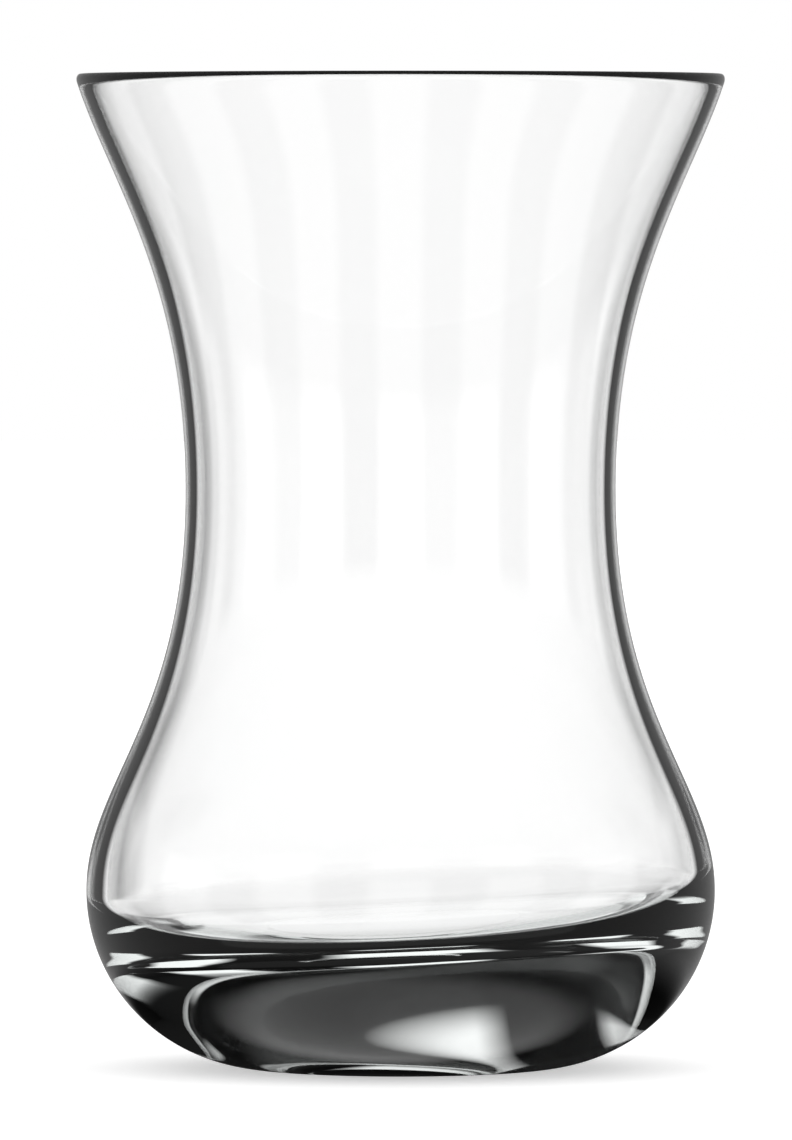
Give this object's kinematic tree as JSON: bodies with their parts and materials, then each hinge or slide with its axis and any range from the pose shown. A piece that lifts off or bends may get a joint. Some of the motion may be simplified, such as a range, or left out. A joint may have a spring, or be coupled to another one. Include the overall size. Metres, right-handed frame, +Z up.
{
  "type": "turkish tea glass",
  "caption": "Clear waisted tea glass with a flared mouth, a rounded bulb and a thick solid base that it stands on, shown empty.",
  "frame": {"origin": "centre of the foot, on the surface the glass stands on", "axes": "+Z up along the glass's axis towards the mouth; -Y faces the viewer; the inside floor is lowest towards -X"},
  "size_m": [0.056, 0.056, 0.086],
  "materials": {
    "clear_glass": "clear fire-polished soda-lime glass, smooth and glossy inside and out"
  },
  "bodies": {
    "root": {"tea_glass": "clear_glass"}
  },
  "joints": []
}
